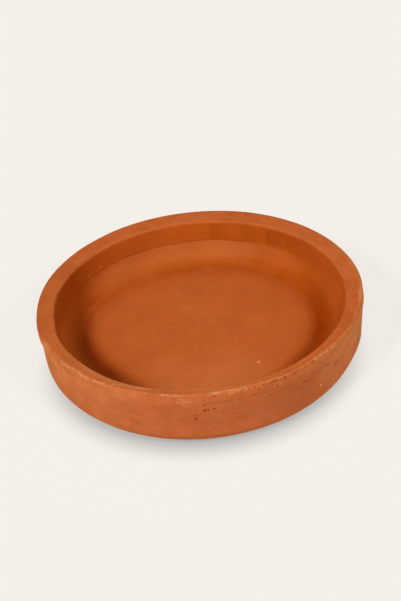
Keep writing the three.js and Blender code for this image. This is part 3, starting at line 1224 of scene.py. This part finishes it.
def work_the_skin(mesh, *shape):
    """Lays the marks of making and use on the skin, as a height along each vertex's normal, and
    writes the masks that the materials read."""
    work = SkinWork(mesh, *shape)
    normals = read(mesh.vertex_normals, "vector", 3)
    patchy = smooth_step(-0.5, 0.5, work.clouds(5, 2, 13))
    make_uneven(work)
    wear_the_crest(work, patchy)
    crease = press_the_crease(work)
    shade_the_inside(work, crease, stroke_the_wall(work))
    tone_the_skin(work, patchy)
    lay_pits(work)
    lay_scuffs(work, patchy)
    lay_grains(work)
    scatter_pits(work)
    work.masks["inside"] += work.inside
    moved = work.places + normals * work.raised[:, None]
    moved[:, 2] = np.clip(moved[:, 2], 0, None)
    place_vertices(mesh, moved)
    for name, values in work.masks.items():
        mask = mesh.attributes.new(name, "FLOAT", "POINT")
        mask.data.foreach_set("value", np.clip(values, 0, 1).astype(np.float32))


# Parting the skin into its courses


def boundary():
    bpy.ops.mesh.select_non_manifold(
        extend=False,
        use_wire=False,
        use_boundary=True,
        use_multi_face=False,
        use_non_contiguous=False,
        use_verts=False,
    )


def pick_boundary(piece, wanted):
    """In edit mode, selects the open rims of the piece whose vertices are wanted."""
    boundary()
    shape = bmesh.from_edit_mesh(piece.data)
    for vertex in shape.verts:
        if vertex.select and not wanted(vertex):
            vertex.select = False
    shape.select_flush_mode()
    bmesh.update_edit_mesh(piece.data)


def part_the_skin(skin):
    edit(skin)
    bpy.ops.mesh.select_all(action="SELECT")
    bpy.ops.mesh.separate(type="MATERIAL")
    leave_edit()
    pieces = {}
    for piece in bpy.context.selected_objects:
        used = piece.data.polygons[0].material_index
        name = piece.data.materials[used].name
        piece.name = name + "_clay"
        pieces[name] = piece
    return pieces


def drop_to_the_slab(piece, wanted):
    """Draws the ring at the crease straight down to the slab's edge, behind the corner coil."""
    pick_boundary(piece, wanted)
    bpy.ops.mesh.extrude_region_move(TRANSFORM_OT_translate={"value": (0, 0, 0)})
    bpy.ops.transform.resize(value=(1, 1, 0), center_override=(0, 0, SLAB_EDGE))


def close_course(piece, name):
    """Adds the faces on which a course lies against its neighbours."""
    edit(piece)
    crease_band = (CREASE_HEIGHT - 2 * MM, CREASE_HEIGHT + 2 * MM)
    if name == "wall_coil":
        pick_boundary(piece, lambda vertex: vertex.co.z > crease_band[1])
        bpy.ops.mesh.bridge_edge_loops()
    if name in ("wall_coil", "corner_coil"):
        drop_to_the_slab(piece, lambda vertex: crease_band[0] < vertex.co.z < crease_band[1])
    boundary()
    bpy.ops.mesh.bridge_edge_loops()
    bpy.ops.mesh.select_all(action="SELECT")
    bpy.ops.mesh.normals_make_consistent(inside=False)
    leave_edit()
    bpy.ops.object.shade_smooth_by_angle(angle=math.radians(50))


# The fired clay. Its colours on the outside, on the rim's top and inside
OUTSIDE_CLAY = shade(174, 90, 47)
RIM_CLAY = shade(189, 95, 43)
INSIDE_CLAY = shade(185, 91, 38)
# Painted shade on the inner wall and the cove at the back; painted light on the wall at the right
WALL_SHADE_CLAY = shade(178, 83, 23)
COVE_SHADE_CLAY = shade(175, 88, 36)
LIT_WALL_CLAY = shade(199, 91, 25)
# The colour of the painted shade inside
PAINTED_SHADE_CLAY = shade(151, 64, 3)
# The colours of the two painted shadows at the foot of the inner wall
SHADOW_RIGHT_CLAY = shade(160, 62, 3)
SHADOW_LEFT_CLAY = shade(140, 54, 9)
RUDDY_CLAY = shade(182, 82, 33)
DEEP_OUTSIDE_CLAY = shade(156, 82, 42)
PALER_CLAY = shade(203, 121, 67)
RUBBED_CLAY = shade(198, 125, 78)
PALE_GRAIN = shade(244, 163, 116)
# The painted shade in pits, scratches and crumb hollows, and the colour of dark sand
DARK_GRAIN_AND_PIT_SHADE = shade(84, 26, 4)


# How the mottle tints the clay: where it is deep, pale, redder and browner
DEEP_TINT = (0.80, 0.72, 0.58, 1)
PALE_TINT = (1.13, 1.20, 1.38, 1)
REDDER_TINT = (1.05, 0.93, 0.86, 1)
BROWNER_TINT = (0.95, 1.04, 1.10, 1)


def mottle_group():
    """Clay that is deeper and paler in patches."""
    tree, given, out = new_group(
        "clay mottle",
        [("Places", PLACES, None), ("Clay", COLOUR, OUTSIDE_CLAY), ("Patch Size", NUMBER, 0.02),
         ("Strength", NUMBER, 1.0)],
        [("Colour", COLOUR)],
    )
    large = cloud(tree, given["Places"], given["Patch Size"], 3.0, 0.5)
    small = cloud(tree, given["Places"], calculate(tree, "MULTIPLY", given["Patch Size"], 0.23), 3.0)
    deep = blend(tree, 1.0, given["Clay"], DEEP_TINT, "MULTIPLY")
    pale = blend(tree, 1.0, given["Clay"], PALE_TINT, "MULTIPLY")
    share = calculate(tree, "MULTIPLY_ADD", large, 0.62, calculate(tree, "MULTIPLY", small, 0.38))
    toned = blend(tree, spread(tree, share, 0.30, 0.70), deep, pale)
    turned = add(tree, "ShaderNodeVectorMath", operation="ADD")
    feed(tree, turned.inputs[0], given["Places"])
    feed(tree, turned.inputs[1], (0.3, 0.5, 0.2))
    hue = cloud(tree, turned.outputs[0], calculate(tree, "MULTIPLY", given["Patch Size"], 0.4), 3.0)
    redder = blend(tree, 1.0, toned, REDDER_TINT, "MULTIPLY")
    browner = blend(tree, 1.0, toned, BROWNER_TINT, "MULTIPLY")
    toned = blend(tree, spread(tree, hue, 0.32, 0.68), redder, browner)
    tree.links.new(blend(tree, given["Strength"], given["Clay"], toned), out["Colour"])
    return tree


def wipe_group():
    """Fine lines drawn out along the way round."""
    tree, given, out = new_group(
        "wiped lines",
        [("Places", PLACES, None), ("Length", NUMBER, 0.04), ("Width", NUMBER, 0.001)],
        [("Lines", NUMBER)],
    )
    radius = distance_out(tree, given["Places"])
    apart = add(tree, "ShaderNodeSeparateXYZ")
    tree.links.new(given["Places"], apart.inputs[0])
    reach = calculate(tree, "DIVIDE", WIPED_ROUND, given["Length"])
    way = add(tree, "ShaderNodeCombineXYZ")
    for name in ("X", "Y"):
        share = calculate(tree, "DIVIDE", apart.outputs[name], calculate(tree, "MAXIMUM", radius, MM))
        tree.links.new(calculate(tree, "MULTIPLY", share, reach), way.inputs[name])
    across = calculate(tree, "MULTIPLY_ADD", radius, INWARD_SHARE, apart.outputs["Z"])
    tree.links.new(calculate(tree, "DIVIDE", across, given["Width"]), way.inputs["Z"])
    lines = add(tree, "ShaderNodeTexNoise", Scale=1.0, Detail=2.0, Roughness=0.6)
    tree.links.new(way.outputs[0], lines.inputs["Vector"])
    tree.links.new(lines.outputs["Fac"], out["Lines"])
    return tree


def sand_group():
    """Single grains: pale ones and dark ones, and how far they stand out of the clay."""
    tree, given, out = new_group(
        "sand grains",
        [("Places", PLACES, None), ("Size", NUMBER, 0.0012), ("Share", NUMBER, 0.1)],
        [("Pale", NUMBER), ("Dark", NUMBER), ("Stand", NUMBER)],
    )
    cells = add(tree, "ShaderNodeTexVoronoi")
    tree.links.new(calculate(tree, "DIVIDE", 1.0, given["Size"]), cells.inputs["Scale"])
    tree.links.new(given["Places"], cells.inputs["Vector"])
    tone = add(tree, "ShaderNodeSeparateXYZ")
    tree.links.new(cells.outputs["Color"], tone.inputs[0])
    spot = spread(tree, cells.outputs["Distance"], 0.42, 0.16)
    pale = calculate(tree, "LESS_THAN", tone.outputs["X"], given["Share"])
    dark = calculate(tree, "LESS_THAN", tone.outputs["Y"], given["Share"])
    pale = calculate(tree, "MULTIPLY", pale, spot)
    dark = calculate(tree, "MULTIPLY", dark, spot)
    tree.links.new(pale, out["Pale"])
    tree.links.new(dark, out["Dark"])
    tree.links.new(calculate(tree, "SUBTRACT", pale, dark), out["Stand"])
    return tree


def rub_group():
    """Where the skin is rubbed, paler clay shows through in a broken, grainy way."""
    tree, given, out = new_group(
        "rubbed clay",
        [("Places", PLACES, None), ("Colour", COLOUR, OUTSIDE_CLAY), ("Pale", COLOUR, RUBBED_CLAY),
         ("Rubbed", NUMBER, 0.0), ("Lines", NUMBER, 0.5)],
        [("Colour", COLOUR), ("Mask", NUMBER)],
    )
    grain = cloud(tree, given["Places"], 1.3 * MM, 3.0, 0.6)
    broken = calculate(tree, "MULTIPLY", given["Lines"], 0.30)
    broken = calculate(tree, "MULTIPLY_ADD", grain, 0.70, broken)
    edge = calculate(tree, "SUBTRACT", 1.0, given["Rubbed"])
    mask = calculate(tree, "SUBTRACT", broken, calculate(tree, "MULTIPLY", edge, 0.62))
    mask = spread(tree, mask, -0.04, 0.34)
    mask = calculate(tree, "MULTIPLY", mask, spread(tree, given["Rubbed"], 0.0, 0.25))
    tree.links.new(blend(tree, mask, given["Colour"], given["Pale"]), out["Colour"])
    tree.links.new(mask, out["Mask"])
    return tree


def read_mask(tree, name):
    return add(tree, "ShaderNodeAttribute", attribute_name=name).outputs["Fac"]


class ClayEffects:
    """The node groups, built once."""

    def __init__(self):
        self.mottle = mottle_group()
        self.wipe = wipe_group()
        self.sand = sand_group()
        self.rub = rub_group()


# The clay by mask, in the order in which it is laid: inside, with painted shade on the wall and the
# cove and painted light on the wall at the right, and then over all of the skin
INSIDE_SHADE_AND_LIGHT = (("wall", WALL_SHADE_CLAY), ("cove", COVE_SHADE_CLAY), ("lit_wall", LIT_WALL_CLAY))
# Ruddy clay, and then the two painted shadows
DEEPER_CLAYS_AND_SHADOWS = (("ruddy", RUDDY_CLAY), ("shadow_right", SHADOW_RIGHT_CLAY), ("shadow_left", SHADOW_LEFT_CLAY))


def plain_clay(tree, inside):
    """The clay's colour before it is mottled, by where on the pan it is, with painted light and shade
    laid in.
    """
    inside_clay = INSIDE_CLAY
    for name, colour in INSIDE_SHADE_AND_LIGHT:
        inside_clay = blend(tree, read_mask(tree, name), inside_clay, colour)
    outside_clay = blend(tree, read_mask(tree, "level"), OUTSIDE_CLAY, RIM_CLAY)
    clay = blend(tree, inside, outside_clay, inside_clay)
    clay = blend(tree, read_mask(tree, "pale_patches"), clay, PALER_CLAY)
    # The clay painted darker: painted shade inside, and deeper clay outside
    deep_clay = blend(tree, inside, DEEP_OUTSIDE_CLAY, PAINTED_SHADE_CLAY)
    clay = blend(tree, read_mask(tree, "darker_and_painted_shade"), clay, deep_clay)
    for name, colour in DEEPER_CLAYS_AND_SHADOWS:
        clay = blend(tree, read_mask(tree, name), clay, colour)
    return clay


# Sand, lines and grain, the same on every course. Inside, the sand shows less
SAND_SIZE = 1.5 * MM
SAND_LESS_INSIDE = -0.7
SAND_TONES = (("Pale", 0.26, RUBBED_CLAY), ("Dark", 0.30, DARK_GRAIN_AND_PIT_SHADE))
LINE_LENGTH = 30 * MM
LINE_WIDTH = 1.1 * MM
GRAIN_SIZE = 0.9 * MM
GRAIN_LESS_INSIDE = -0.45
# How much the lines and the sand stand out, against the grain
LINES_STAND = 0.5
SAND_STANDS = 0.6
# How strongly the clay is mottled outside, and by how much less inside
MOTTLE_STRENGTH = 0.5
MOTTLE_LESS_INSIDE = -0.2
CLAY_SHEEN = 0.04
CLAY_ROUGHNESS = (0.84, 0.97)
DARKEST_PIT = 0.9


def strew_sand(tree, clay, sand, inside):
    calm = calculate(tree, "MULTIPLY_ADD", inside, SAND_LESS_INSIDE, 1.0)
    for name, strength, colour in SAND_TONES:
        share = calculate(tree, "MULTIPLY", sand[name], calculate(tree, "MULTIPLY", calm, strength))
        clay = blend(tree, share, clay, colour)
    return clay


def roughen(tree, surface, grain, lines, sand, rubbed, inside, grit):
    """The fine relief of grain, wiped lines, sand and broken rubbed clay, with grit as its unit."""
    height = calculate(tree, "MULTIPLY_ADD", inside, GRAIN_LESS_INSIDE, 1.0)
    height = calculate(tree, "MULTIPLY", grain, height)
    height = calculate(tree, "MULTIPLY_ADD", lines, LINES_STAND, height)
    height = calculate(tree, "MULTIPLY_ADD", sand, SAND_STANDS, height)
    height = calculate(tree, "ADD", calculate(tree, "MULTIPLY", rubbed, grain), height)
    relief = add(tree, "ShaderNodeBump", Strength=1.0, Distance=grit)
    tree.links.new(height, relief.inputs["Height"])
    tree.links.new(relief.outputs[0], surface.inputs["Normal"])
    tree.links.new(spread(tree, grain, 0.2, 0.8, *CLAY_ROUGHNESS), surface.inputs["Roughness"])


def finish_clay(material, effects, patch, line_strength, sand_share, grit):
    """Fired clay. Where it is inside or rubbed, where it is painted darker as shade in pits, the
    groove, the crease and on the wall, where the painted shadows and painted light lie, and so on,
    comes from the masks on the mesh."""
    material.use_nodes = True
    tree = material.node_tree
    surface = tree.nodes["Principled BSDF"]
    surface.inputs["Specular IOR Level"].default_value = CLAY_SHEEN
    places = object_places(tree)
    inside = read_mask(tree, "inside")
    strength = calculate(tree, "MULTIPLY_ADD", inside, MOTTLE_LESS_INSIDE, MOTTLE_STRENGTH)
    mottle = {"Clay": plain_clay(tree, inside), "Patch_Size": patch, "Strength": strength}
    clay = use_group(tree, effects.mottle, Places=places, **mottle)[0]
    lines = use_group(tree, effects.wipe, Places=places, Length=LINE_LENGTH, Width=LINE_WIDTH)[0]
    drawn = spread(tree, lines, 0.25, 0.75, 1 - line_strength, 1 + line_strength)
    clay = blend(tree, 1.0, clay, drawn, "MULTIPLY")
    sand = use_group(tree, effects.sand, Places=places, Size=SAND_SIZE, Share=sand_share)
    clay = strew_sand(tree, clay, sand, inside)
    rubbing = {"Colour": clay, "Rubbed": read_mask(tree, "rubbed"), "Lines": lines}
    rub = use_group(tree, effects.rub, Places=places, **rubbing)
    clay = blend(tree, read_mask(tree, "grain"), rub["Colour"], PALE_GRAIN)
    # Pits, scratches and crumb hollows are painted darker, as shade
    pit_shade = calculate(tree, "MINIMUM", read_mask(tree, "pit_shade"), DARKEST_PIT)
    tree.links.new(blend(tree, pit_shade, clay, DARK_GRAIN_AND_PIT_SHADE), surface.inputs["Base Color"])
    grain = cloud(tree, places, GRAIN_SIZE, 3.0, 0.65)
    roughen(tree, surface, grain, lines, sand["Stand"], rub["Mask"], inside, grit)


def finish_pieces(pieces):
    effects = ClayEffects()
    finishes = {
        # patch size, strength of lines, share of sand, relief
        "base_slab": (18 * MM, 0.030, 0.06, 0.10 * MM),
        "wall_coil": (18 * MM, 0.040, 0.05, 0.12 * MM),
        "rim_coil": (16 * MM, 0.045, 0.08, 0.12 * MM),
        "corner_coil": (18 * MM, 0.035, 0.06, 0.09 * MM),
    }
    for name, values in finishes.items():
        finish_clay(pieces[name].data.materials[0], effects, *values)


light_the_scene()
lay_the_floor()
place_camera()
skin, stretches = make_skin()
mark_courses(skin, stretches)
shape = shape_the_skin(skin.data)
work_the_skin(skin.data, *shape)
pieces = part_the_skin(skin)
for name, piece in pieces.items():
    close_course(piece, name)
    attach(piece, "root")
    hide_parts(name)
finish_pieces(pieces)
